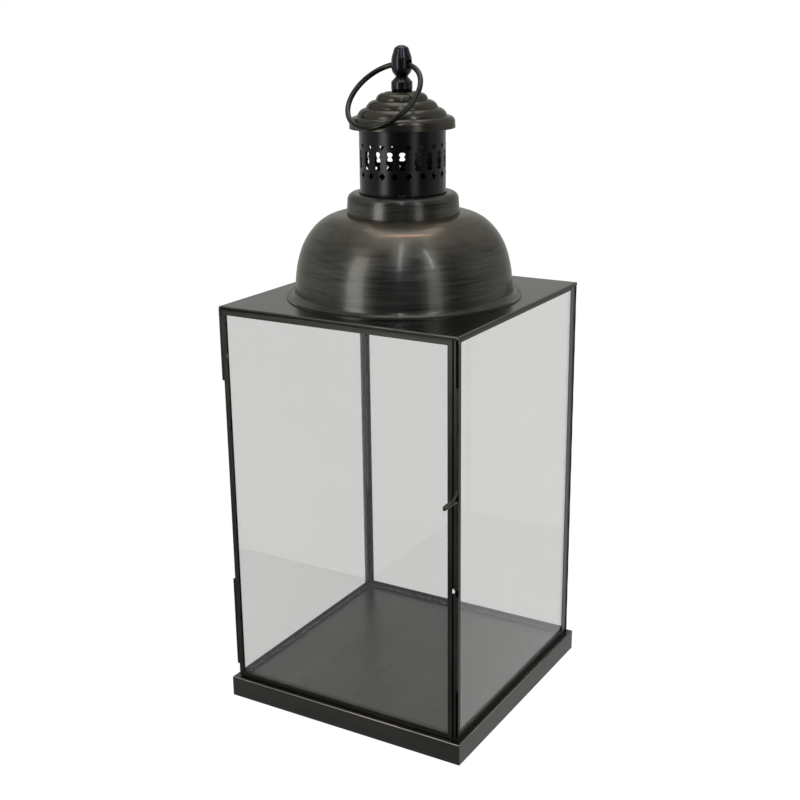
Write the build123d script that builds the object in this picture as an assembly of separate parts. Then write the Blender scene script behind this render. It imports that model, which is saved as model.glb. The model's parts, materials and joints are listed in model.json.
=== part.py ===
from build123d import *

import os
from math import cos, radians, sin

# Hurricane candle lantern: a glazed square case on a folded base, with a hinged front door, a
# spun dome, a pierced chimney, a stepped cap and a loose carrying ring through the finial.
# Origin: centre of the underside. +Z is up, the door faces -Y. Millimetres.

# ---- base and case -------------------------------------------------------------------------
BASE_SIDE = 250.0
BASE_HEIGHT = 20.0
BASE_FOLD_R = 1.0
SHEET = 0.9
CASE_HALF = 120.0
STRIP_WALL = 0.8
WALL_FLANGE = 1.7
RAIL_WIDTH = (5.3, 5.0)
GLASS_THICK = 2.4
GLASS_EDGE_GAP = 0.6
GLASS_BED = 0.05
SIDE_FRONT_Y = -115.5
SIDE_STILE_WIDTH = (1.8, 10.5)
SIDE_GLASS_REAR_Y = 116.6
LATCH_LIP_Y = -117.6
BACK_STILE_WIDTH = 5.4

# ---- door ----------------------------------------------------------------------------------
DOOR_LEFT_X = -119.6
DOOR_RIGHT_X = 115.0
DOOR_BOTTOM_Z = 20.8
DOOR_TOP_Z = 385.6
DOOR_THICK = 4.1
DOOR_STRIP_WIDTH = 4.4
GROOVE_WIDTH = 1.5
RIB_WIDTH = 1.9
NOTCH_Z = (161.3, 166.2)
NOTCH_X = (114.1, 117.6)

# ---- door wire -----------------------------------------------------------------------------
WIRE_R = 1.1
WIRE_X = 119.5
WIRE_Y = -119.4
PULL_TOP_Z = 346.3
PULL_BOTTOM_Z = 166.5
PULL_TIP_Y = -142.4
PULL_LEG_Z = (247.9, 250.6)
LOWER_WIRE_Z = (69.8, 160.3)
SOLDER_Z = (100.0, 150.0, 180.0, 334.0)

# ---- hinges --------------------------------------------------------------------------------
HINGE_X = -121.5
HINGE_Y = -118.0
KNUCKLE_R = 1.6
PIN_R = 0.8
PIN_CLEARANCE = 0.05
LEAF_THICK = 0.8
DOOR_KNUCKLES = {"upper": (320.5, 378.4), "lower": (33.5, 92.0)}
FRAME_KNUCKLES = {"upper": (379.0, 386.0), "lower": (92.6, 122.0)}

# ---- top plate, dome and chimney -----------------------------------------------------------
PLATE_HALF = 120.8
PLATE_TOP_Z = 389.2
PLATE_EDGE = 3.0
PLATE_SHEET = 0.8
PLATE_FOLD_R = 1.1
VENT_R = 85.0
DOME_SHEET = 1.0
DOME_FLANGE_R = 108.0
DOME_PIERCING_R = 105.7
DOME_PIERCING_AZIMUTH = 29.5
COLLAR_TOP_Z = 483.0
CHIMNEY_HOLE_R = 38.9
CHIMNEY_R = 38.7
CHIMNEY_WALL = 0.8
CHIMNEY_Z = (477.0, 550.4)
CHIMNEY_BEAD_R = 1.0
SLOT_AZIMUTHS = (
    -59.9, -39.4, -22.0, -3.6, 16.7, 36.7, 54.7, 72.7, 90.7, 108.7,
    121.3, 138.0, 155.2, 172.7, 190.7, 209.2, 227.7, 246.3, 265.9, 283.3,
)
ROW_SHIFT = -1.8
SEAM_STRIP_AZIMUTHS = (39.0, 114.5)
SEAM_STRIP_Z = (494.0, 532.0)
SEAM_STRIP_SHEET = 0.5

# ---- cap, finial and ring ------------------------------------------------------------------
CAP_SHEET = 0.9
CAP_TOP_Z = 571.0
CAP_FLAT_R = 13.0
CAP_CREASES = ((16.3, 569.9), (23.1, 564.0), (32.2, 557.2), (40.2, 549.7), (47.0, 545.5))
CAP_BULGE = 1.8
CAP_RIM = (47.3, 539.5)
CAP_RIM_ROUND = 0.5
STUD_R = 2.0
STUD_BOTTOM_Z = 535.0
BRIDGE_Z = 546.0
BRIDGE_WIDTH = 12.0
BRIDGE_SHEET = 1.5
BRIDGE_TAB = 9.0
EYE_Z = 594.5
EYE_R = 3.95
EYE_AZIMUTH = -9.0
RING_R = 35.85
RING_WIRE_R = 2.35
RING_DROOP = 46.0


def folded_lid(side, height, top_z, sheet, fold_r):
    """Shallow square tray, open below, with a rounded fold along its four top edges."""
    outer = Pos(0, 0, top_z - height / 2) * Box(side, side, height)
    outer = fillet(outer.faces().sort_by(Axis.Z)[-1].edges(), fold_r)
    inner_side = side - 2 * sheet
    inner = Pos(0, 0, top_z - sheet - height / 2) * Box(inner_side, inner_side, height)
    return outer - inner


def box_between(low, high):
    size = [b - a for a, b in zip(low, high)]
    middle = [(a + b) / 2 for a, b in zip(low, high)]
    return Pos(*middle) * Box(*size)


def glazed_frame(limits, widths, flange, glass_x, stiles=("left", "right")):
    """Mitred angle strips and their pane, keyed by piece, flat on XY.

    The strips' outside lies at z = 0, and their perimeter flange reaches down to z = -flange.
    """
    left, right, bottom, top = limits
    inner_left, inner_right = left + widths[0], right - widths[1]
    inner_bottom, inner_top = bottom + widths[2], top - widths[3]
    wall = STRIP_WALL
    recess = box_between(
        (left + wall if "left" in stiles else left - 1, bottom + wall, -flange - 1),
        (right - wall if "right" in stiles else right + 1, top - wall, -wall),
    )
    corners = {
        "left_stile": ((left, bottom), (inner_left, inner_bottom), (inner_left, inner_top), (left, top)),
        "right_stile": ((right, bottom), (right, top), (inner_right, inner_top), (inner_right, inner_bottom)),
        "bottom_rail": (
            (left, bottom), (right, bottom), (inner_right, inner_bottom), (inner_left, inner_bottom)
        ),
        "top_rail": ((left, top), (inner_left, inner_top), (inner_right, inner_top), (right, top)),
    }
    pieces = {}
    for name, outline in corners.items():
        if name.endswith("rail") or name.split("_")[0] in stiles:
            pieces[name] = extrude(make_face(Polyline(*outline, close=True)), -flange) - recess
    edge = wall + GLASS_EDGE_GAP
    front = -wall - GLASS_BED
    pieces["glass"] = box_between(
        (glass_x[0], bottom + edge, front - GLASS_THICK), (glass_x[1], top - edge, front)
    )
    return pieces


def stand(plane, pieces, names):
    """Moves flat pieces into an upright plane of the case, under their new names."""
    return {names.get(name, name): plane.location * piece for name, piece in pieces.items()}


def right_panel():
    """Fixed side; its flat x runs along +Y. Its pane stops short of the back panel's pane."""
    plane = Plane(origin=(CASE_HALF, 0, 0), x_dir=(0, 1, 0), z_dir=(1, 0, 0))
    limits = (SIDE_FRONT_Y, CASE_HALF, BASE_HEIGHT, PLATE_TOP_Z - PLATE_SHEET)
    glass_y = (SIDE_FRONT_Y + STRIP_WALL + GLASS_EDGE_GAP, SIDE_GLASS_REAR_Y)
    flat = glazed_frame(limits, SIDE_STILE_WIDTH + RAIL_WIDTH, WALL_FLANGE, glass_y)
    return stand(plane, flat, {"left_stile": "front_stile", "right_stile": "rear_stile"})


def latch_lip():
    """Forward edge of the right panel's front strip, beside the door's wires."""
    low = (CASE_HALF - STRIP_WALL, LATCH_LIP_Y, BASE_HEIGHT)
    return box_between(low, (CASE_HALF, SIDE_FRONT_Y, PLATE_TOP_Z - PLATE_SHEET))


def back_panel():
    """Fixed back between the sides; its flat x runs along -X, and its pane meets the right panel."""
    plane = Plane(origin=(0, CASE_HALF, 0), x_dir=(-1, 0, 0), z_dir=(0, 1, 0))
    half = CASE_HALF - WALL_FLANGE
    limits = (-half, half, BASE_HEIGHT, PLATE_TOP_Z - PLATE_SHEET)
    glass_x = (-half, half - STRIP_WALL - GLASS_EDGE_GAP)
    flat = glazed_frame(limits, (0.0, BACK_STILE_WIDTH) + RAIL_WIDTH, WALL_FLANGE, glass_x, stiles=("right",))
    return stand(plane, flat, {"right_stile": "left_stile"})


def door_panel():
    """Hinged front, between its hinge edge and the folded strip along its free edge."""
    plane = Plane(origin=(0, -CASE_HALF, 0), x_dir=(1, 0, 0), z_dir=(0, -1, 0))
    limits = (DOOR_LEFT_X, DOOR_RIGHT_X, DOOR_BOTTOM_Z, DOOR_TOP_Z)
    edge = STRIP_WALL + GLASS_EDGE_GAP
    glass_x = (DOOR_LEFT_X + edge, DOOR_RIGHT_X - edge)
    flat = glazed_frame(limits, (DOOR_STRIP_WIDTH,) * 4, DOOR_THICK, glass_x)
    return stand(plane, flat, {"left_stile": "hinge_stile", "right_stile": "latch_stile"})


def edge_notch(front_y):
    """Small gap through the door's free edge, from front_y to its back."""
    return box_between(
        (NOTCH_X[0], front_y, NOTCH_Z[0]), (NOTCH_X[1], -CASE_HALF + DOOR_THICK + 1, NOTCH_Z[1])
    )


def door_edge_strip():
    """Folded strip along the free edge: a shallow groove, then a rib."""
    back_y = -CASE_HALF + DOOR_THICK
    groove_x = DOOR_RIGHT_X + GROOVE_WIDTH
    web = box_between((DOOR_RIGHT_X, back_y - STRIP_WALL, DOOR_BOTTOM_Z), (groove_x, back_y, DOOR_TOP_Z))
    rib = box_between((groove_x, -CASE_HALF, DOOR_BOTTOM_Z), (groove_x + RIB_WIDTH, back_y, DOOR_TOP_Z))
    return web + rib


def swept_wire(path, wire_r):
    return sweep(Plane(path @ 0, z_dir=path % 0) * Circle(wire_r), path=path)


def door_pull_wire():
    """Upright wire along the free edge, bent out into a flat hairpin pull."""
    low, high = PULL_LEG_Z
    points = [
        (WIRE_X, WIRE_Y, PULL_TOP_Z),
        (WIRE_X, WIRE_Y, high + 4.6),
        (WIRE_X, WIRE_Y - 6.5, high + 0.8),
        (WIRE_X, PULL_TIP_Y, high),
        (WIRE_X, PULL_TIP_Y, low),
        (WIRE_X, WIRE_Y - 1.6, low),
        (WIRE_X, WIRE_Y, low - 6.0),
        (WIRE_X, WIRE_Y, PULL_BOTTOM_Z),
    ]
    return swept_wire(FilletPolyline(*points, radius=[5.0, 6.0, 1.3, 1.3, 2.0, 6.0]), WIRE_R)


def door_lower_wire():
    """Shorter wire below the notch, its rounded foot set back a little."""
    low, high = LOWER_WIRE_Z
    foot = (WIRE_X, WIRE_Y + 0.3, low)
    points = [(WIRE_X, WIRE_Y, high), (WIRE_X, WIRE_Y, low + 16.0), foot]
    return swept_wire(FilletPolyline(*points, radius=30.0), WIRE_R) + Pos(*foot) * Sphere(WIRE_R)


def door_wire_solder():
    """Solder fillets between the rib and the back of the wires."""
    rib_x = DOOR_RIGHT_X + GROOVE_WIDTH + RIB_WIDTH
    drops = []
    for z in SOLDER_Z:
        block = box_between((rib_x, WIRE_Y, z - 2.5), (rib_x + 0.5, WIRE_Y + 1.8, z + 2.5))
        wire = Pos(WIRE_X, WIRE_Y, z) * Cylinder(WIRE_R, 8.0)
        drops.append(block - wire)
    return Compound(children=drops)


def barrel(z_range, bore_r):
    low, high = z_range
    tube = Cylinder(KNUCKLE_R, high - low) - Cylinder(bore_r, high - low)
    return Pos(HINGE_X, HINGE_Y, (low + high) / 2) * tube


def knuckle(z_range, bore_r, leaf):
    """Rolled barrel on the hinge axis with its soldered leaf."""
    low, high = z_range
    bore = Pos(HINGE_X, HINGE_Y, (low + high) / 2) * Cylinder(bore_r, high - low)
    return barrel(z_range, bore_r) + leaf - bore


def door_knuckle(z_range):
    low, high = z_range
    leaf = box_between((DOOR_LEFT_X - LEAF_THICK, HINGE_Y - 1.4, low), (DOOR_LEFT_X, HINGE_Y + 1.4, high))
    return knuckle(z_range, PIN_R + PIN_CLEARANCE, leaf)


def frame_knuckle(z_range):
    low, high = z_range
    leaf = box_between((-CASE_HALF - LEAF_THICK, HINGE_Y, low), (-CASE_HALF, HINGE_Y + 4.3, high))
    return knuckle(z_range, PIN_R, leaf)


def hinge_pin(name):
    """Pin held by the fixed knuckle; its domed head below carries the door's knuckle."""
    low = DOOR_KNUCKLES[name][0]
    high = FRAME_KNUCKLES[name][1]
    head_h = 1.0
    shaft = Pos(HINGE_X, HINGE_Y, (low + high) / 2 - 0.1) * Cylinder(PIN_R, high - low)
    head = Pos(HINGE_X, HINGE_Y, low - 0.1 - head_h / 2) * Cylinder(KNUCKLE_R - 0.1, head_h)
    head = fillet(head.edges().sort_by(Axis.Z)[0], 0.6)
    return shaft + head


def spun(outline):
    """Turns an (r, z) outline on the XZ plane about the Z axis."""
    return revolve(make_face(Plane.XZ * outline), Axis.Z)


def spun_shell(profile, sheet, side=Side.LEFT):
    """Sheet of constant thickness on one side of a turned profile."""
    return spun(offset(profile, amount=sheet, side=side, kind=Kind.INTERSECTION))


def dome():
    """Spun bowl: flat flange, tight flare, deep shoulder, upright collar and turned-in top."""
    flange_z = PLATE_TOP_Z + DOME_SHEET
    skirt = Line((DOME_FLANGE_R, flange_z), (105.6, flange_z))
    flare = JernArc(skirt @ 1, (-1, 0), 5.6, -82.5)
    wall = Line(flare @ 1, (99.0, 407.0))
    belly = TangentArc(wall @ 1, (94.2, 430.2), tangent=wall % 1)
    shoulder = TangentArc(belly @ 1, (78.5, 454.6), tangent=belly % 1)
    crown = TangentArc(shoulder @ 1, (51.2, 464.4), tangent=shoulder % 1)
    collar = Line(crown @ 1, (50.3, 476.8))
    roll = ThreePointArc(collar @ 1, (48.5, 481.2), (44.1, COLLAR_TOP_Z))
    lip = Line(roll @ 1, (CHIMNEY_HOLE_R, COLLAR_TOP_Z))
    shell = spun_shell(Wire([skirt, flare, wall, belly, shoulder, crown, collar, roll, lip]), DOME_SHEET)
    angle = radians(DOME_PIERCING_AZIMUTH)
    place = Pos(DOME_PIERCING_R * cos(angle), DOME_PIERCING_R * sin(angle), flange_z)
    return shell - place * Cylinder(1.0, 4.0)


def chimney_tube():
    """Plain tube with one rolled bead, which sits on the dome's collar."""
    low, high = CHIMNEY_Z
    bead_z = COLLAR_TOP_Z + CHIMNEY_BEAD_R
    inner = CHIMNEY_R - CHIMNEY_WALL
    outline = (
        Line((inner, low), (CHIMNEY_R, low))
        + Line((CHIMNEY_R, low), (CHIMNEY_R, COLLAR_TOP_Z))
        + ThreePointArc(
            (CHIMNEY_R, COLLAR_TOP_Z),
            (CHIMNEY_R + CHIMNEY_BEAD_R, bead_z),
            (CHIMNEY_R, bead_z + CHIMNEY_BEAD_R),
        )
        + Line((CHIMNEY_R, bead_z + CHIMNEY_BEAD_R), (CHIMNEY_R, high))
        + Line((CHIMNEY_R, high), (inner, high))
        + Line((inner, high), (inner, low))
    )
    return spun(outline)


def mirrored_face(half):
    """Closes a half outline, drawn on the right of the Y axis, with its mirror image."""
    return make_face(Curve() + half + mirror(half, Plane.YZ))


def baluster():
    """Upright baluster-shaped piercing: bulb, waist, body, neck and foot."""
    bulb = ThreePointArc((0, 521.5), (2.7, 519.8), (1.3, 517.7))
    body = Spline((1.3, 517.7), (2.85, 515.2), (2.85, 511.4), (1.6, 509.4))
    foot = ThreePointArc((1.6, 509.4), (2.8, 507.4), (0, 505.8))
    return mirrored_face(Curve() + [bulb, body, foot])


def triangle():
    return make_face(Polyline((-2.9, 527.1), (2.9, 527.1), (0, 522.8), close=True))


def diamond():
    return make_face(Polyline((-3.1, 500.6), (0, 504.2), (3.1, 500.6), (0, 497.0), close=True))


def radial_cut(face, azimuth):
    """Prism through one side of the chimney, from a face drawn flat with Y as height."""
    plane = Plane(origin=(0, 0, 0), x_dir=(0, 1, 0), z_dir=(1, 0, 0))
    start = Pos(0, 0, CHIMNEY_R - 3.0)
    return Rot(0, 0, azimuth) * plane.location * start * extrude(face, 6.0)


def chimney():
    """Chimney with its rows of triangles, balusters and diamonds, punched by hand and uneven."""
    following = SLOT_AZIMUTHS[1:] + (SLOT_AZIMUTHS[0] + 360.0,)
    tube = chimney_tube()
    cuts = []
    for slot_azimuth, next_azimuth in zip(SLOT_AZIMUTHS, following):
        between = (slot_azimuth + next_azimuth) / 2 + ROW_SHIFT
        cuts.append(radial_cut(baluster(), slot_azimuth))
        cuts.append(radial_cut(triangle(), between))
        cuts.append(radial_cut(diamond(), between))
    return tube - cuts


def chimney_seam_strip():
    """Curved strip soldered inside the chimney, over its seam and the piercings beside it."""
    low, high = SEAM_STRIP_Z
    start, end = SEAM_STRIP_AZIMUTHS
    middle_r = CHIMNEY_R - CHIMNEY_WALL - SEAM_STRIP_SHEET / 2
    section = Plane.XZ * Pos(middle_r, (low + high) / 2) * Rectangle(SEAM_STRIP_SHEET, high - low)
    return Rot(0, 0, start) * revolve(section, Axis.Z, end - start)


def cap():
    """Spun cap: a flat crown, bulged sloping steps, and an upright rim, bored for the stud."""
    crown = Line((STUD_R + 0.1, CAP_TOP_Z), (CAP_FLAT_R, CAP_TOP_Z))
    edges = [crown, TangentArc(crown @ 1, CAP_CREASES[0], tangent=crown % 1)]
    for inner, outer in zip(CAP_CREASES, CAP_CREASES[1:]):
        edges.append(SagittaArc(inner, outer, CAP_BULGE))
    edges.append(Line(CAP_CREASES[-1], CAP_RIM))
    shell = spun_shell(Wire(edges), CAP_SHEET, Side.RIGHT)
    rim_edges = shell.edges().filter_by(GeomType.CIRCLE).sort_by(Axis.Z)[:2]
    return fillet(rim_edges.sort_by(SortBy.RADIUS)[-1], CAP_RIM_ROUND)


def finial():
    """Turned collar, sharp neck and egg-shaped acorn, cross-bored for the ring."""
    foot = Polyline((0, CAP_TOP_Z), (8.9, CAP_TOP_Z), (9.5, 573.6), (9.4, 579.3), (5.2, 583.9), (7.2, 586.2))
    points = [foot @ 1, (8.9, 590.2), (9.15, 594.5), (8.7, 600.4), (6.8, 606.3), (2.3, 610.3)]
    acorn = Spline(*points, tangents=[(0.8, 1.0), (-1.0, 0.4)])
    closing = Polyline(acorn @ 1, (0, 610.3), (0, CAP_TOP_Z))
    turned = spun(Curve() + [foot, acorn, closing])
    eye = Pos(0, 0, EYE_Z) * Rot(0, 0, EYE_AZIMUTH) * Rot(0, 90, 0) * Cylinder(EYE_R, 30.0)
    stud_hole = Pos(0, 0, CAP_TOP_Z + 5.0) * Cylinder(STUD_R, 10.0)
    return turned - eye - stud_hole


def finial_stud():
    """Threaded rod from the finial down through the cap and the bridge."""
    high = CAP_TOP_Z + 10.0
    return Pos(0, 0, (STUD_BOTTOM_Z + high) / 2) * Cylinder(STUD_R, high - STUD_BOTTOM_Z)


def stud_nut():
    """Hexagon nut under the bridge."""
    height = 3.2
    nut = extrude(RegularPolygon(3.5, 6, major_radius=False), height) - Cylinder(STUD_R, 20.0)
    return Pos(0, 0, BRIDGE_Z - BRIDGE_SHEET - height) * nut


def chimney_bridge():
    """Strap across the chimney, its ends turned down against the tube, bored for the stud."""
    reach = CHIMNEY_R - CHIMNEY_WALL - 0.2
    inside = reach - BRIDGE_SHEET
    half_width = BRIDGE_WIDTH / 2
    block = box_between((-reach, -half_width, BRIDGE_Z - BRIDGE_TAB), (reach, half_width, BRIDGE_Z))
    gap = box_between((-inside, -BRIDGE_WIDTH, 0), (inside, BRIDGE_WIDTH, BRIDGE_Z - BRIDGE_SHEET))
    round_limit = Pos(0, 0, BRIDGE_Z) * Cylinder(reach, 40.0)
    strap = (block - gap) & round_limit
    return strap - Pos(0, 0, BRIDGE_Z) * Cylinder(STUD_R, 10.0)


def carry_ring():
    """Round wire ring through the finial's eye, lying against the cap on the door side."""
    droop = radians(RING_DROOP)
    eye = Vector(cos(radians(EYE_AZIMUTH)), sin(radians(EYE_AZIMUTH)), 0)
    out = Vector(eye.Y, -eye.X, 0)
    down = out * cos(droop) + Vector(0, 0, -sin(droop))
    centre = Vector(0, 0, EYE_Z) + down * RING_R
    plane = Plane(origin=centre, x_dir=down, z_dir=eye.cross(down))
    return plane.location * Torus(RING_R, RING_WIRE_R)


def base_pan():
    return folded_lid(BASE_SIDE, BASE_HEIGHT, BASE_HEIGHT, SHEET, BASE_FOLD_R)


def base_bottom_sheet():
    side = BASE_SIDE - 2 * SHEET - 0.1
    return Pos(0, 0, SHEET / 2) * Box(side, side, SHEET)


def top_plate():
    plate = folded_lid(2 * PLATE_HALF, PLATE_EDGE, PLATE_TOP_Z, PLATE_SHEET, PLATE_FOLD_R)
    return plate - Pos(0, 0, PLATE_TOP_Z) * Cylinder(VENT_R, 20.0)


def build():
    """Every sub-part under its node name."""
    nodes = {"base_pan": base_pan(), "base_bottom_sheet": base_bottom_sheet()}
    right = right_panel()
    for name, piece in right.items():
        nodes["right_" + name] = piece
        nodes["left_" + name] = mirror(piece, Plane.YZ)
    nodes["right_front_stile"] += latch_lip()
    nodes.update({"back_" + name: piece for name, piece in back_panel().items()})
    nodes.update({"door_" + name: piece for name, piece in door_panel().items()})
    nodes["door_latch_stile"] -= edge_notch(-CASE_HALF + STRIP_WALL)
    nodes["door_edge_strip"] = door_edge_strip() - edge_notch(-CASE_HALF - 1)
    nodes["door_pull_wire"] = door_pull_wire()
    nodes["door_lower_wire"] = door_lower_wire()
    nodes["door_wire_solder"] = door_wire_solder()
    for name in DOOR_KNUCKLES:
        nodes[name + "_door_knuckle"] = door_knuckle(DOOR_KNUCKLES[name])
        nodes[name + "_frame_knuckle"] = frame_knuckle(FRAME_KNUCKLES[name])
        nodes[name + "_hinge_pin"] = hinge_pin(name)
    nodes["top_plate"] = top_plate()
    nodes["dome"] = dome()
    nodes["chimney"] = chimney()
    nodes["chimney_seam_strip"] = chimney_seam_strip()
    nodes["chimney_bridge"] = chimney_bridge()
    nodes["cap"] = cap()
    nodes["finial"] = finial()
    nodes["finial_stud"] = finial_stud()
    nodes["stud_nut"] = stud_nut()
    nodes["carry_ring"] = carry_ring()
    return nodes


os.makedirs("parts", exist_ok=True)
for node, shape in build().items():
    export_step(shape, "parts/" + node + ".step")
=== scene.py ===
import json
import math

import bmesh
import bpy
from mathutils import Matrix, Vector


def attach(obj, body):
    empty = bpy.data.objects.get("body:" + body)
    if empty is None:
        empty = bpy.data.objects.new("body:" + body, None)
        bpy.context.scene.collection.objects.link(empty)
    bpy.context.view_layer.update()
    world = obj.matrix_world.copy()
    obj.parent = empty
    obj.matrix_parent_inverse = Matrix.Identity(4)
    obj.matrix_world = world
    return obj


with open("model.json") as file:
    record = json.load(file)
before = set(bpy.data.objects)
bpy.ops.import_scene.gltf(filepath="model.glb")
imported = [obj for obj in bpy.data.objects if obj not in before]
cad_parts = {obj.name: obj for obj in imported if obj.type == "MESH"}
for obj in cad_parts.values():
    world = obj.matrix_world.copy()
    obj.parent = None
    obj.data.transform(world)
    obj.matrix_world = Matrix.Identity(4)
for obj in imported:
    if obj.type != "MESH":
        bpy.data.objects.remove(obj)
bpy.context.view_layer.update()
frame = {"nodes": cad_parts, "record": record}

# ---- camera, in metres and degrees -------------------------------------------------------------
CAMERA_AZIMUTH = 30.74
CAMERA_ELEVATION = 17.12
CAMERA_ROLL = -0.69
CAMERA_DISTANCE = 1.2085
CAMERA_TARGET = Vector((-0.0043, -0.0025, 0.2864))
CAMERA_LENS = 57.43

# ---- studio ------------------------------------------------------------------------------------
ROOM = (0.10, 0.10, 0.105)
SIDE_ROOM = (0.56, 0.56, 0.55)
BACKDROP = (0.64, 0.64, 0.63)
WHITE = (1.0, 1.0, 1.0)
FLOOR_GLOW = 0.985
FLOOR_HALF = 30.0
COOL = (0.82, 0.90, 1.0)

# ---- the case, as it stands in the CAD model ---------------------------------------------------
BASE_TOP = 0.0201
BASE_FOLD = (0.125, 0.020)
PLATE_FOLD = (0.1208, 0.3892)
PLATE_UNDERSIDE = 0.3882
WALL_FACE = 0.1200
PANE_INSIDE = 0.1166
PUTTY_FRONT = -0.1130
PUTTY_REAR = 0.1160
# Nearly black: the colour of the dark corner seams, and also of the painted shade on a folded sheet's sides
SEAM_AND_PAINTED_SHADE_DARK = (0.012, 0.012, 0.012)

# ---- marks on the dome -------------------------------------------------------------------------
SHOULDER_FADE_IN = (0.425, 0.462)
SHOULDER_FADE_OUT = (0.470, 0.465)
RUBBED_LINE_HEIGHT = 0.4562
RUBBED_LINE_AZIMUTH = -58.0

# ---- the ring, as it lies in the CAD model -----------------------------------------------------
EYE_HEIGHT = 0.5945
EYE_AZIMUTH = -9.0
RING_DROOP = 46.0
RING_RADIUS = 0.03585
RING_WIRE = 0.00235
RING_JOINT_ANGLE = 38.0
RING_JOINT_SIDES = 24
RING_JOINT_BAND = ((-1.3, -0.00005), (-0.9, 0.00016), (0.6, 0.00018), (0.9, -0.00005))


def scene_camera():
    """Camera at the viewing angle, looking down a little at the case."""
    az, el, roll = (math.radians(a) for a in (CAMERA_AZIMUTH, CAMERA_ELEVATION, CAMERA_ROLL))
    back = Vector((math.sin(az) * math.cos(el), -math.cos(az) * math.cos(el), math.sin(el)))
    right = Vector((math.cos(az), math.sin(az), 0.0))
    up = back.cross(right)
    x = right * math.cos(roll) + up * math.sin(roll)
    y = up * math.cos(roll) - right * math.sin(roll)
    data = bpy.data.cameras.new("camera")
    data.lens = CAMERA_LENS
    data.sensor_width = 36.0
    data.clip_start = 0.05
    camera = bpy.data.objects.new("camera", data)
    turn = Matrix((x, y, back)).transposed().to_4x4()
    camera.matrix_world = Matrix.Translation(CAMERA_TARGET + back * CAMERA_DISTANCE) @ turn
    bpy.context.scene.collection.objects.link(camera)
    bpy.context.scene.camera = camera


class Nodes:
    """Short forms for building a node tree."""

    def __init__(self, tree):
        self.tree = tree
        tree.nodes.clear()

    def add(self, kind, inputs=None, **settings):
        node = self.tree.nodes.new(kind)
        for key, value in settings.items():
            setattr(node, key, value)
        for key, value in (inputs or {}).items():
            self.put(node.inputs[key], value)
        return node

    def put(self, socket, value):
        if isinstance(value, bpy.types.NodeSocket):
            self.tree.links.new(value, socket)
        elif isinstance(value, bpy.types.Node):
            self.tree.links.new(value.outputs[0], socket)
        else:
            socket.default_value = value

    def math(self, operation, a, b=0.0, clamp=False):
        return self.add("ShaderNodeMath", {0: a, 1: b}, operation=operation, use_clamp=clamp).outputs[0]

    def mapped(self, value, low, high, to_low=0.0, to_high=1.0, smooth=False):
        kind = "SMOOTHSTEP" if smooth else "LINEAR"
        keys = {"Value": value, "From Min": low, "From Max": high, "To Min": to_low, "To Max": to_high}
        return self.add("ShaderNodeMapRange", keys, interpolation_type=kind).outputs[0]

    def mix(self, factor, a, b):
        node = self.add("ShaderNodeMix", data_type="RGBA")
        self.put(node.inputs[0], factor)
        self.put(node.inputs[6], a if isinstance(a, bpy.types.NodeSocket) else (*a, 1.0))
        self.put(node.inputs[7], b if isinstance(b, bpy.types.NodeSocket) else (*b, 1.0))
        return node.outputs[2]

    def noise(self, vector, scale, detail, rough=0.55):
        keys = {"Vector": vector, "Scale": scale, "Detail": detail, "Roughness": rough}
        return self.add("ShaderNodeTexNoise", keys).outputs[0]

    def position(self):
        return self.add("ShaderNodeTexCoord").outputs["Object"]

    def stretched(self, vector, scale):
        return self.add("ShaderNodeMapping", {"Vector": vector, "Scale": scale}).outputs[0]

    def turned(self, vector, around, across):
        """Coordinates for streaks round the Z axis: slow along them, fast in radius and height."""
        xyz = self.add("ShaderNodeSeparateXYZ", {0: vector})
        flat = self.math("POWER", self.math("ADD", self.math("MULTIPLY", xyz.outputs[0], xyz.outputs[0]),
                                            self.math("MULTIPLY", xyz.outputs[1], xyz.outputs[1])), 0.5)
        return self.add("ShaderNodeCombineXYZ", {
            0: self.math("MULTIPLY", xyz.outputs[0], around),
            1: self.math("MULTIPLY", xyz.outputs[1], around),
            2: self.math("MULTIPLY", self.math("ADD", flat, xyz.outputs[2]), across),
        }).outputs[0]

    def surface(self, shader):
        self.add("ShaderNodeOutputMaterial", {"Surface": shader})


def material(name):
    made = bpy.data.materials.new(name)
    made.use_nodes = True
    return made, Nodes(made.node_tree)


def aged_metal(name, dark, light, rough, streaks, bump=0.04, anisotropy=0.0, coat=0.0, marks=None,
               uneven=0.07, edge=WHITE):
    """Dark patina rubbed back along the brushing.

    streaks maps position to streak coordinates, and the roughness varies by uneven along them;
    marks may add to the finished colour, and edge tints the reflection at grazing angles.
    """
    made, n = material(name)
    place = n.position()
    lines = streaks(n, place)
    fine = n.noise(lines, 1.0, 5.0, 0.65)
    broad = n.noise(lines, 0.16, 2.0)
    cloud = n.noise(place, 22.0, 3.0)
    patches = n.math("ADD", n.math("MULTIPLY", broad, 0.25), n.math("MULTIPLY", cloud, 0.25))
    rub = n.mapped(n.math("ADD", n.math("MULTIPLY", fine, 0.5), patches), 0.38, 0.64)
    colour = n.mix(rub, dark, light)
    keys = {
        "Base Color": marks(n, place, colour) if marks else colour,
        "Metallic": 1.0,
        "Roughness": n.mapped(fine, 0.3, 0.7, rough - uneven, rough + uneven),
        "Specular Tint": (*edge, 1.0),
        "Coat Weight": coat,
        "Coat Roughness": 0.11,
    }
    if bump:
        keys["Normal"] = n.add("ShaderNodeBump", {"Strength": bump, "Distance": 0.0004, "Height": fine})
    if anisotropy:
        keys["Anisotropic"] = anisotropy
        keys["Anisotropic Rotation"] = 0.25
        keys["Tangent"] = n.add("ShaderNodeTangent", direction_type="RADIAL", axis="Z")
    n.surface(n.add("ShaderNodeBsdfPrincipled", keys))
    return made


def brushed_along(scale):
    return lambda n, place: n.stretched(place, scale)


def spun_streaks(n, place):
    return n.turned(place, 26.0, 800.0)


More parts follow.
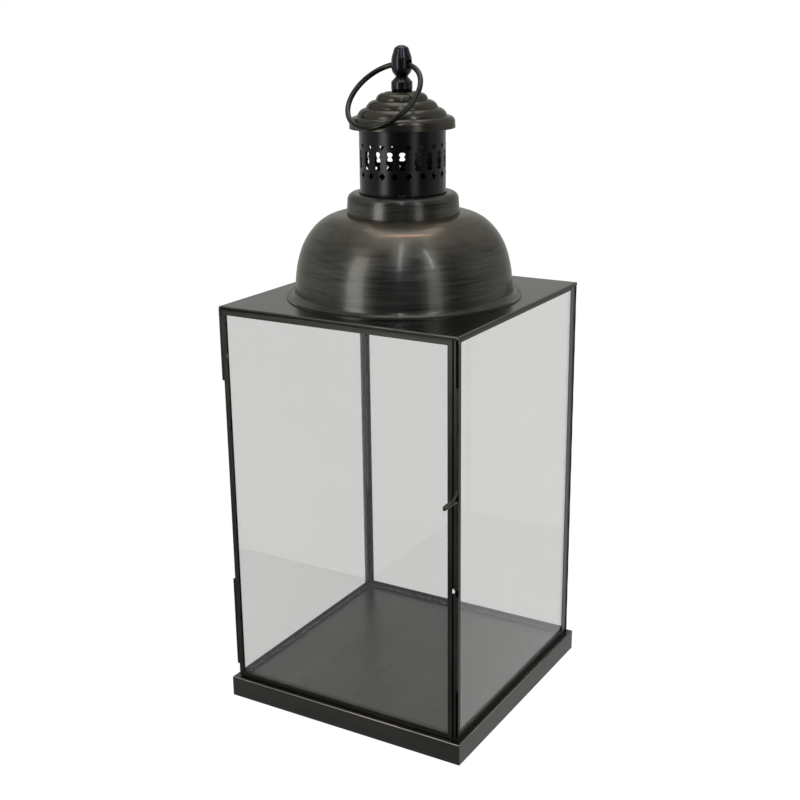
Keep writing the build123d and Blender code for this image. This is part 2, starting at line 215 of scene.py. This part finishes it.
def sheet_streaks(n, place):
    """Brushing along Y, except on the front and back faces, where it runs along X."""
    normal = n.add("ShaderNodeSeparateXYZ", {0: n.add("ShaderNodeNewGeometry").outputs["Normal"]}).outputs[1]
    faces_y = n.math("GREATER_THAN", n.math("ABSOLUTE", normal), 0.7)
    along_y = n.stretched(place, (500.0, 9.0, 500.0))
    along_x = n.stretched(place, (9.0, 500.0, 700.0))
    node = n.add("ShaderNodeMix", data_type="VECTOR")
    n.put(node.inputs[0], faces_y)
    n.put(node.inputs[4], along_y)
    n.put(node.inputs[5], along_x)
    return node.outputs[1]


def outline_distance(n, place):
    """The larger of the distances from the axis along X and Y, their difference, and the height."""
    xyz = n.add("ShaderNodeSeparateXYZ", {0: place})
    across = n.math("ABSOLUTE", xyz.outputs[0])
    deep = n.math("ABSOLUTE", xyz.outputs[1])
    larger = n.math("MAXIMUM", across, deep)
    difference = n.math("ABSOLUTE", n.math("SUBTRACT", across, deep))
    return larger, difference, xyz.outputs[2]


def folded_edges(half_side, top_z, wear_and_highlight, painted_side_shade=0.0):
    """Marks for a folded sheet: painted shade on the folded-down sides, dark corner seams, and a worn line
    along the fold that is partly painted highlight.
    """
    wear_and_highlight_start, wear_and_highlight_full = 0.0009, 0.0004

    def marks(n, place, colour):
        larger, difference, height = outline_distance(n, place)
        patchy = n.mapped(n.noise(place, 22.0, 3.0), 0.30, 0.62)
        # The lighter line along the fold, partly real wear and partly painted highlight, broken into patches
        wear_and_highlight_band = n.math("MULTIPLY", n.mapped(larger, half_side - wear_and_highlight_start, half_side - wear_and_highlight_full),
                         n.mapped(height, top_z - wear_and_highlight_start, top_z - wear_and_highlight_full))
        colour = n.mix(n.math("MULTIPLY", wear_and_highlight_band, patchy, clamp=True), colour, wear_and_highlight)
        # Painted shade: below the fold the side darkens towards near black, by the painted side shade amount
        painted_side_shade_mask = n.mapped(height, top_z - wear_and_highlight_start, top_z - 0.0014, 0.0, painted_side_shade)
        colour = n.mix(painted_side_shade_mask, colour, SEAM_AND_PAINTED_SHADE_DARK)
        outside = n.mapped(larger, half_side - 0.0045, half_side - 0.0040)
        seam = n.math("MULTIPLY", n.mapped(difference, 0.00040, 0.00022), outside)
        return n.mix(seam, colour, SEAM_AND_PAINTED_SHADE_DARK)
    return marks


def corner_painted_light(n, place, colour):
    """Bluish painted highlight band along the inner part of a rear corner's strip, and painted shade, nearly
    black, outside it.
    """
    painted_highlight_colour, painted_shade_colour = (0.115, 0.125, 0.132), (0.010, 0.010, 0.009)
    deep = n.add("ShaderNodeSeparateXYZ", {0: place}).outputs[1]
    # Painted highlight: bluish band on the inner part of the strip
    colour = n.mix(n.mapped(deep, 0.1146, 0.1152), painted_highlight_colour, colour)
    # Painted shade: up to 0.7 of near black on the outer part of the strip
    return n.mix(n.mapped(deep, 0.1150, 0.1162, 0.0, 0.7), colour, painted_shade_colour)


def dome_marks(n, place, colour):
    """Browner shoulder, and one short rubbed line round it."""
    brown, rubbed = (0.125, 0.105, 0.078), (0.30, 0.17, 0.11)
    xyz = n.add("ShaderNodeSeparateXYZ", {0: place})
    height = xyz.outputs[2]
    shoulder = n.math("MULTIPLY", n.mapped(height, *SHOULDER_FADE_IN, smooth=True),
                      n.mapped(height, *SHOULDER_FADE_OUT))
    patchy = n.mapped(n.noise(n.turned(place, 14.0, 60.0), 1.0, 3.0), 0.40, 0.62)
    colour = n.mix(n.math("MULTIPLY", shoulder, patchy), colour, brown)
    off_line = n.math("ABSOLUTE", n.math("SUBTRACT", height, RUBBED_LINE_HEIGHT))
    line = n.mapped(off_line, 0.0009, 0.0002)
    azimuth = n.math("ARCTAN2", xyz.outputs[1], xyz.outputs[0])
    off_middle = n.math("ABSOLUTE", n.math("SUBTRACT", azimuth, math.radians(RUBBED_LINE_AZIMUTH)))
    near = n.mapped(off_middle, 0.34, 0.12)
    return n.mix(n.math("MULTIPLY", line, near), colour, rubbed)


def glass_material():
    """Slightly grey pane; light from lamps passes straight through it."""
    made, n = material("clear_pane")
    haze = n.noise(n.position(), 9.0, 3.0)
    keys = {
        "Base Color": n.mix(haze, (0.762, 0.760, 0.754), (0.792, 0.790, 0.784)),
        "Roughness": n.mapped(haze, 0.3, 0.7, 0.0, 0.012),
        "IOR": 1.45,
        "Transmission Weight": 1.0,
    }
    body = n.add("ShaderNodeBsdfPrincipled", keys)
    open_way = n.add("ShaderNodeBsdfTransparent", {"Color": (0.86, 0.87, 0.85, 1.0)})
    lamp = n.add("ShaderNodeLightPath").outputs["Is Shadow Ray"]
    n.surface(n.add("ShaderNodeMixShader", {0: lamp, 1: body, 2: open_way}))
    return made


def materials():
    sheet = ((0.036, 0.036, 0.033), (0.078, 0.076, 0.069))
    plate = ((0.052, 0.047, 0.041), (0.070, 0.064, 0.056))
    black = ((0.024, 0.024, 0.026), (0.034, 0.034, 0.036))
    upright = brushed_along((900.0, 900.0, 20.0))
    even_grain = brushed_along((60.0, 60.0, 60.0))
    dull_edge = (0.62, 0.62, 0.58)
    return {
        "sheet_metal": aged_metal("sheet_metal", *sheet, 0.34, sheet_streaks),
        # Base and top plate: the lighter line along each fold is wear and also painted highlight
        "base_metal": aged_metal("base_metal", (0.070, 0.069, 0.066), (0.100, 0.098, 0.091), 0.31,
                                 sheet_streaks, 0.0, marks=folded_edges(*BASE_FOLD, (0.30, 0.28, 0.23)),
                                 uneven=0.02),
        # Top plate: its folded-down sides take 0.75 of painted shade towards near black
        "plate_metal": aged_metal("plate_metal", *plate, 0.27, sheet_streaks, 0.0,
                                  marks=folded_edges(*PLATE_FOLD, (0.16, 0.155, 0.14), 0.75),
                                  uneven=0.02),
        "upright_metal": aged_metal("upright_metal", *sheet, 0.36, upright),
        # Rear corner strips: painted highlight band and painted shade
        "corner_metal": aged_metal("corner_metal", *sheet, 0.36, upright, marks=corner_painted_light),
        "spun_metal": aged_metal("spun_metal", (0.036, 0.035, 0.031), (0.118, 0.115, 0.101), 0.37,
                                 spun_streaks, 0.04, 0.6, 0.30, dome_marks, edge=dull_edge),
        "cap_metal": aged_metal("cap_metal", (0.042, 0.038, 0.032), (0.086, 0.079, 0.066), 0.31,
                                spun_streaks, 0.03, 0.3, 0.15, edge=dull_edge),
        "chimney_black": aged_metal("chimney_black", *black, 0.27, even_grain, 0.0, uneven=0.02),
        "finial_black": aged_metal("finial_black", (0.026, 0.027, 0.031), (0.044, 0.045, 0.050), 0.24,
                                   brushed_along((50.0, 50.0, 50.0)), 0.0, uneven=0.02),
        "ring_steel": aged_metal("ring_steel", (0.026, 0.026, 0.023), (0.058, 0.057, 0.050), 0.30,
                                 brushed_along((90.0, 90.0, 90.0))),
        "door_wire": aged_metal("door_wire", (0.040, 0.039, 0.035), (0.095, 0.092, 0.082), 0.32,
                                brushed_along((300.0, 300.0, 40.0))),
        "solder": aged_metal("solder", (0.055, 0.065, 0.056), (0.17, 0.19, 0.165), 0.30,
                             brushed_along((420.0, 420.0, 420.0)), 0.2),
        "plain_steel": aged_metal("plain_steel", (0.09, 0.09, 0.09), (0.16, 0.16, 0.16), 0.45, even_grain),
        "clear_glass": glass_material(),
    }


LOOK_OF_NODE = {
    "base_pan": "base_metal",
    "top_plate": "plate_metal",
    "cap": "cap_metal",
    "finial": "finial_black",
    "left_rear_stile": "corner_metal",
    "right_rear_stile": "corner_metal",
}
UPRIGHT = ("stile", "edge_strip", "knuckle")


def finish_nodes(looks):
    """Gives every CAD node the procedural material of its slot."""
    slots = {part["node"]: part["material_slot"] for part in frame["record"]["subparts"]}
    for name, node in frame["nodes"].items():
        look = LOOK_OF_NODE.get(name, slots[name])
        if look == "sheet_metal" and any(word in name for word in UPRIGHT):
            look = "upright_metal"
        for slot in node.material_slots:
            slot.material = looks[look]


def mesh_piece(name, bm, look, body):
    """Turns a bmesh into a smooth piece that rides on a body."""
    mesh = bpy.data.meshes.new(name)
    bmesh.ops.recalc_face_normals(bm, faces=bm.faces)
    for face in bm.faces:
        face.smooth = True
    bm.to_mesh(mesh)
    bm.free()
    mesh.materials.append(look)
    piece = bpy.data.objects.new(name, mesh)
    bpy.context.scene.collection.objects.link(piece)
    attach(piece, body)


def skin(bm, rows):
    """Four-sided faces between each closed row of points and the next."""
    for one, two in zip(rows, rows[1:]):
        for j in range(len(one)):
            k = (j + 1) % len(one)
            bm.faces.new((one[j], two[j], two[k], one[k]))


def close_ends(bm, rows):
    bm.faces.new(rows[0])
    bm.faces.new(rows[-1])


def solder_lump(name, centre, radii, look, body):
    """Uneven bead of solder; its waves come from its own shape, so that no two are alike."""
    bm = bmesh.new()
    rings, around = 10, 16
    wave_depth = 0.10
    shift = sum(centre) * 900.0
    rows = []
    for i in range(1, rings):
        polar = math.pi * i / rings
        row = []
        for j in range(around):
            turn = 2 * math.pi * j / around
            wave = 1.0 + wave_depth * math.sin(2 * turn + shift) * math.sin(2 * polar + shift)
            flat = math.sin(polar)
            way = Vector((flat * math.cos(turn), flat * math.sin(turn), math.cos(polar)))
            row.append(bm.verts.new(Vector(centre) + Vector(w * r * wave for w, r in zip(way, radii))))
        rows.append(row)
    skin(bm, rows)
    for row, sign in ((rows[0], 1), (rows[-1], -1)):
        pole = bm.verts.new(Vector(centre) + Vector((0, 0, sign * radii[2])))
        for j in range(around):
            bm.faces.new((pole, row[j], row[(j + 1) % around]))
    mesh_piece(name, bm, look, body)


def putty_bead(name, start, end, inward, look):
    """Thin uneven fillet of glazing putty between a pane and the floor."""
    width = 0.0021
    bm = bmesh.new()
    start, end, inward = Vector(start), Vector(end), Vector(inward)
    steps = 48
    rows = []
    for i in range(steps + 1):
        at = start.lerp(end, i / steps)
        size = width + 0.0003 * math.sin(i * 1.7) + 0.0002 * math.sin(i * 4.1)
        corners = (at, at + inward * size, at + Vector((0, 0, size)))
        rows.append([bm.verts.new(corner) for corner in corners])
    skin(bm, rows)
    close_ends(bm, rows)
    mesh_piece(name, bm, look, "lantern")


def corner_seam(name, side, look):
    """Dark soldered seam up the outside of a rear corner, under the top plate's edge."""
    face, sunk = WALL_FACE, 0.1196
    thickness, bulge = 0.00062, 0.7
    bm = bmesh.new()
    steps = 60
    rows = []
    for i in range(steps + 1):
        size = thickness + 0.00008 * math.sin(i * 1.3)
        z = BASE_TOP + (PLATE_UNDERSIDE - BASE_TOP) * i / steps
        round_corner = face + size * bulge
        corners = ((sunk, face), (face, face + size), (round_corner, round_corner), (face + size, face),
                   (face, sunk))
        rows.append([bm.verts.new((side * x, y, z)) for x, y in corners])
    skin(bm, rows)
    close_ends(bm, rows)
    mesh_piece(name, bm, look, "lantern")


def ring_joint(look):
    """The ring's closed butt joint: a short band that stands a hair proud of the wire."""
    eye_angle, droop = math.radians(EYE_AZIMUTH), math.radians(RING_DROOP)
    eye = Vector((math.cos(eye_angle), math.sin(eye_angle), 0.0))
    out = Vector((eye.y, -eye.x, 0.0))
    down = out * math.cos(droop) + Vector((0.0, 0.0, -math.sin(droop)))
    centre = Vector((0.0, 0.0, EYE_HEIGHT)) + down * RING_RADIUS
    across = eye.cross(down)
    bm = bmesh.new()
    rows = []
    for degrees, extra in RING_JOINT_BAND:
        angle = math.radians(RING_JOINT_ANGLE + degrees)
        way = down * math.cos(angle) + eye * math.sin(angle)
        row = []
        for j in range(RING_JOINT_SIDES):
            turn = 2 * math.pi * j / RING_JOINT_SIDES
            offset = (way * math.cos(turn) + across * math.sin(turn)) * (RING_WIRE + extra)
            row.append(bm.verts.new(centre + way * RING_RADIUS + offset))
        rows.append(row)
    skin(bm, rows)
    mesh_piece("ring_joint", bm, look, "ring")


def detail_pieces(looks):
    """Solder at the corners and on the hinge stile, putty along the floor, seams, and the ring's joint."""
    solder = looks["solder"]
    solder_lump("corner_bead", (0.1203, -0.1203, 0.3872), (0.0013, 0.0013, 0.0015), solder, "lantern")
    solder_lump("corner_blob", (0.1197, -0.1172, 0.3832), (0.0008, 0.0012, 0.0026), solder, "lantern")
    solder_lump("left_corner_bead", (-0.1203, -0.1203, 0.3874), (0.0010, 0.0010, 0.0013), solder, "lantern")
    solder_lump("hinge_drip", (-0.1148, -0.1198, 0.3430), (0.0011, 0.0005, 0.0024), solder, "door")
    back = [(x, PANE_INSIDE, BASE_TOP) for x in (-PANE_INSIDE, PUTTY_REAR)]
    left = [(-PANE_INSIDE, y, BASE_TOP) for y in (PUTTY_FRONT, PUTTY_REAR)]
    right = [(PANE_INSIDE, y, BASE_TOP) for y in (PUTTY_FRONT, PUTTY_REAR)]
    putty_bead("back_putty", *back, (0, -1, 0), solder)
    putty_bead("left_putty", *left, (1, 0, 0), solder)
    putty_bead("right_putty", *right, (-1, 0, 0), solder)
    corner_seam("rear_right_seam", 1, looks["upright_metal"])
    corner_seam("rear_left_seam", -1, looks["upright_metal"])
    ring_joint(looks["ring_steel"])


def area_light(name, azimuth, elevation, distance, size, power, target=(0, 0, 0.35), colour=WHITE):
    """Softbox at a compass angle (from +X, anticlockwise) and elevation round the object."""
    a, e = math.radians(azimuth), math.radians(elevation)
    way = Vector((math.cos(a) * math.cos(e), math.sin(a) * math.cos(e), math.sin(e)))
    data = bpy.data.lights.new(name, "AREA")
    data.shape = "RECTANGLE"
    data.size, data.size_y = size
    data.energy = power
    data.color = colour
    lamp = bpy.data.objects.new(name, data)
    lamp.location = Vector(target) + way * distance
    lamp.rotation_mode = "QUATERNION"
    lamp.rotation_quaternion = way.to_track_quat("Z", "Y")
    bpy.context.scene.collection.objects.link(lamp)
    lamp.visible_camera = False
    lamp.visible_transmission = False


def studio():
    """White background and floor, a dim room in front, two tall softboxes, one overhead, two strips."""
    world = bpy.data.worlds.new("studio")
    bpy.context.scene.world = world
    world.use_nodes = True
    n = Nodes(world.node_tree)
    way = n.add("ShaderNodeTexCoord").outputs["Generated"]
    front = (math.sin(math.radians(CAMERA_AZIMUTH)), -math.cos(math.radians(CAMERA_AZIMUTH)), 0.0)
    facing = n.add("ShaderNodeVectorMath", {0: way, 1: front}, operation="DOT_PRODUCT").outputs["Value"]
    beside = n.mapped(facing, 0.60, 0.05)
    behind = n.mapped(facing, -0.05, -0.45, smooth=True)
    light = n.mix(behind, n.mix(beside, ROOM, SIDE_ROOM), BACKDROP)
    path = n.add("ShaderNodeLightPath")
    seen = n.math("MAXIMUM", path.outputs["Is Camera Ray"], path.outputs["Is Transmission Ray"])
    sky = n.add("ShaderNodeBackground", {"Color": n.mix(seen, light, WHITE)})
    n.add("ShaderNodeOutputWorld", {"Surface": sky})

    mid = (0.0, 0.0, 0.88)
    area_light("softbox_left", -110.5, 0.0, 1.6, (0.52, 1.68), 9.0, mid)
    area_light("softbox_right", -28.0, 0.0, 1.6, (0.40, 1.68), 3.3, mid)
    area_light("overhead", 120.0, 80.0, 2.0, (1.4, 1.4), 13.0)
    area_light("strip_front", -64.0, 48.0, 1.9, (0.05, 1.7), 5.2, colour=COOL)
    area_light("strip_right", -27.0, 42.0, 1.9, (0.05, 0.9), 3.4, colour=COOL)

    mesh = bpy.data.meshes.new("floor")
    bm = bmesh.new()
    bmesh.ops.create_grid(bm, x_segments=8, y_segments=8, size=FLOOR_HALF)
    bm.to_mesh(mesh)
    bm.free()
    floor = bpy.data.objects.new("floor", mesh)
    bpy.context.scene.collection.objects.link(floor)
    made, n = material("pale_floor")
    tone = n.noise(n.position(), 3.0, 2.0)
    n.surface(n.add("ShaderNodeBsdfPrincipled", {
        "Base Color": n.mix(tone, (0.055, 0.055, 0.055), (0.062, 0.062, 0.062)),
        "Roughness": 1.0,
        "Specular IOR Level": 0.0,
        "Emission Color": (*WHITE, 1.0),
        "Emission Strength": FLOOR_GLOW,
    }))
    mesh.materials.append(made)
    floor.visible_glossy = False
    floor.visible_shadow = False


bpy.context.scene.view_settings.view_transform = "Standard"
scene_camera()
studio()
looks = materials()
finish_nodes(looks)
detail_pieces(looks)
